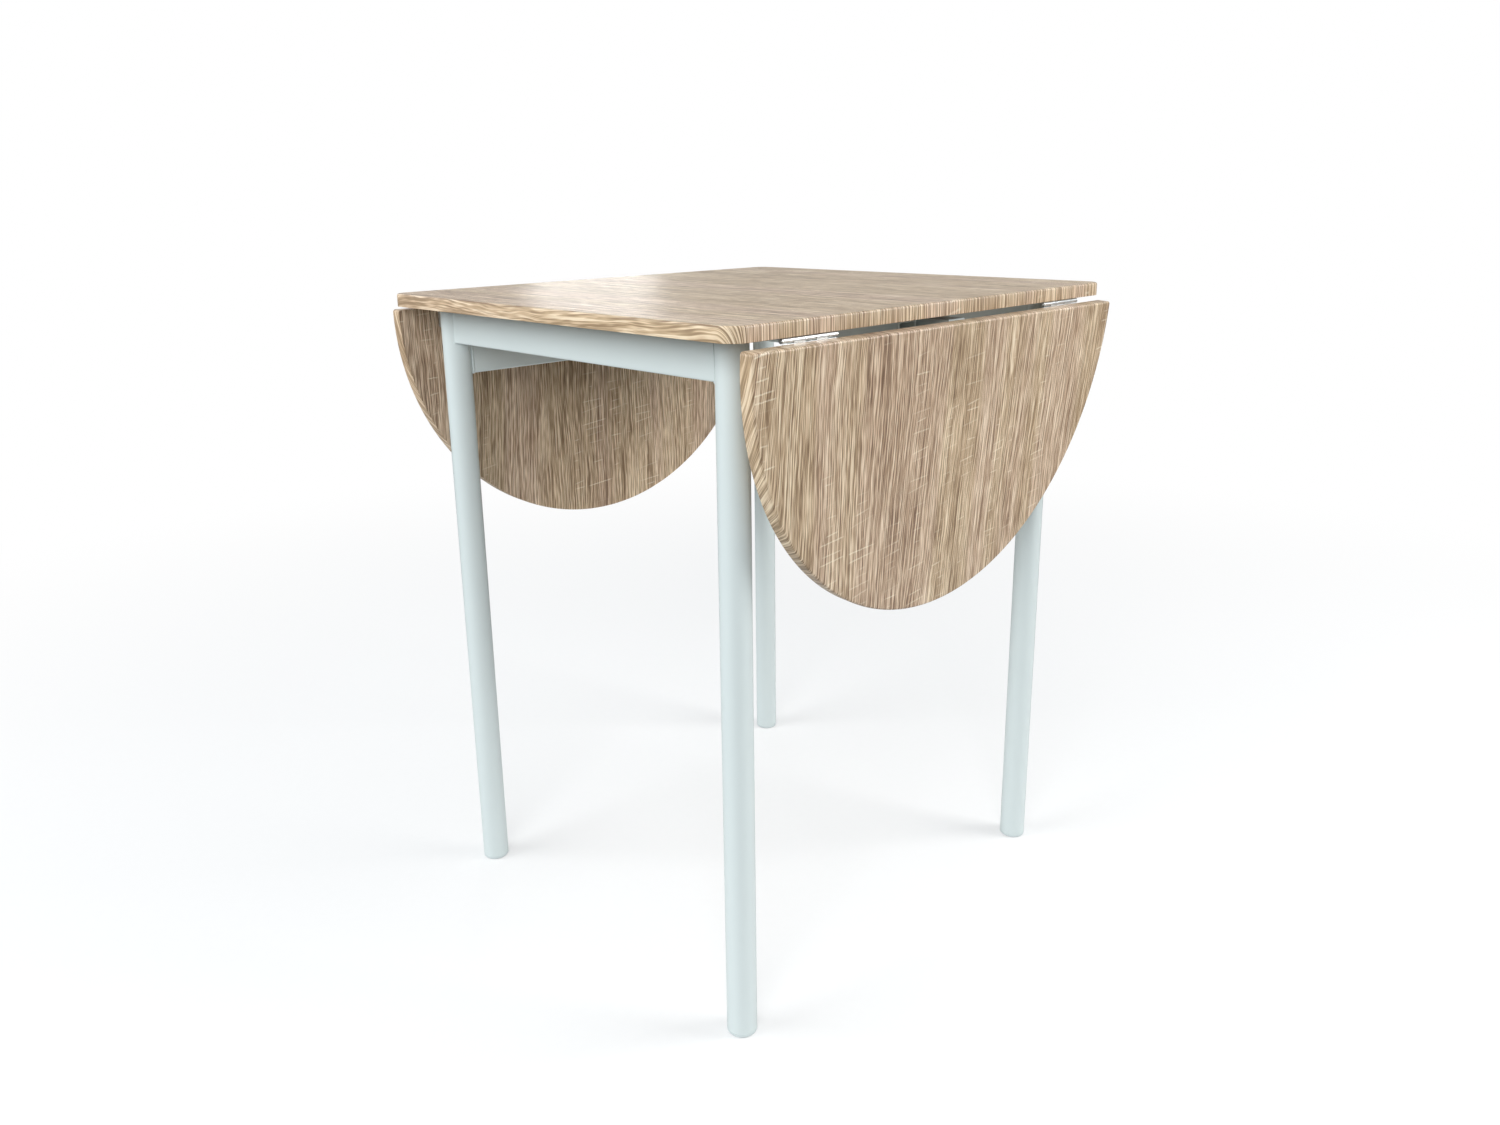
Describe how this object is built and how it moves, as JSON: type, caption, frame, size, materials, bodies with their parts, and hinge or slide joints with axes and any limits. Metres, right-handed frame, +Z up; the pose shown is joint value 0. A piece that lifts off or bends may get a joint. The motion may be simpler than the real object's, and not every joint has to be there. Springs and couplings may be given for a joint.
{
  "type": "drop-leaf table",
  "caption": "Small kitchen table with half-round hinged drop leaves, a wood-effect top and a pale steel frame on round tube legs; swing arms under the top hold the leaves up.",
  "frame": {"origin": "on the floor, under the middle of the top", "axes": "+Z up; +X from the table's middle towards the right leaf, across the hinge lines; +Y along the hinge lines, from the front end rail to the back end rail"},
  "size_m": [0.6161, 0.63, 0.75],
  "materials": {
    "oak_foil": "light oak print foil on board, satin, fine dark pores and pale flecks",
    "frame_paint": "pale grey-blue powder coat, satin",
    "zinc": "bright zinc plating",
    "pale_plastic": "moulded plastic in the frame's colour",
    "nylon": "natural nylon"
  },
  "bodies": {
    "frame": {"top_panel": "oak_foil", "leg_front_right": "frame_paint", "foot_front_right": "pale_plastic", "leg_plug_front_right": "pale_plastic", "top_screw_front_right": "zinc", "leg_front_left": "frame_paint", "foot_front_left": "pale_plastic", "leg_plug_front_left": "pale_plastic", "top_screw_front_left": "zinc", "end_rail_front": "frame_paint", "leg_back_right": "frame_paint", "foot_back_right": "pale_plastic", "leg_plug_back_right": "pale_plastic", "top_screw_back_right": "zinc", "leg_back_left": "frame_paint", "foot_back_left": "pale_plastic", "leg_plug_back_left": "pale_plastic", "top_screw_back_left": "zinc", "end_rail_back": "frame_paint", "side_rail_right": "frame_paint", "arm_carrier_right": "frame_paint", "arm_bolt_right": "zinc", "arm_nut_right": "zinc", "arm_washer_right": "nylon", "hinge_top_plate_right_1": "zinc", "hinge_pin_right_1": "zinc", "hinge_top_plate_right_2": "zinc", "hinge_pin_right_2": "zinc", "side_rail_left": "frame_paint", "arm_carrier_left": "frame_paint", "arm_bolt_left": "zinc", "arm_nut_left": "zinc", "arm_washer_left": "nylon", "hinge_top_plate_left_1": "zinc", "hinge_pin_left_1": "zinc", "hinge_top_plate_left_2": "zinc", "hinge_pin_left_2": "zinc"},
    "right_leaf": {"leaf_right": "oak_foil", "hinge_leaf_plate_right_1": "zinc", "hinge_leaf_plate_right_2": "zinc"},
    "left_leaf": {"leaf_left": "oak_foil", "hinge_leaf_plate_left_1": "zinc", "hinge_leaf_plate_left_2": "zinc"},
    "right_arm": {"swing_arm_right": "zinc"},
    "left_arm": {"swing_arm_left": "zinc"}
  },
  "joints": [
    {"name": "right_leaf_fold", "type": "hinge", "parent": "frame", "child": "right_leaf", "pos_m": [0.287, 0, 0.7323], "axis": [0, -1, 0], "range_deg": [-7, 94.3]},
    {"name": "left_leaf_fold", "type": "hinge", "parent": "frame", "child": "left_leaf", "pos_m": [-0.287, 0, 0.7323], "axis": [0, 1, 0], "range_deg": [-12.6, 88.7]},
    {"name": "right_arm_swing", "type": "hinge", "parent": "frame", "child": "right_arm", "pos_m": [0.236, 0.0235, 0.7327], "axis": [0, 0, 1], "range_deg": [0, 90]},
    {"name": "left_arm_swing", "type": "hinge", "parent": "frame", "child": "left_arm", "pos_m": [-0.236, -0.0235, 0.7327], "axis": [0, 0, 1], "range_deg": [0, 90]}
  ]
}
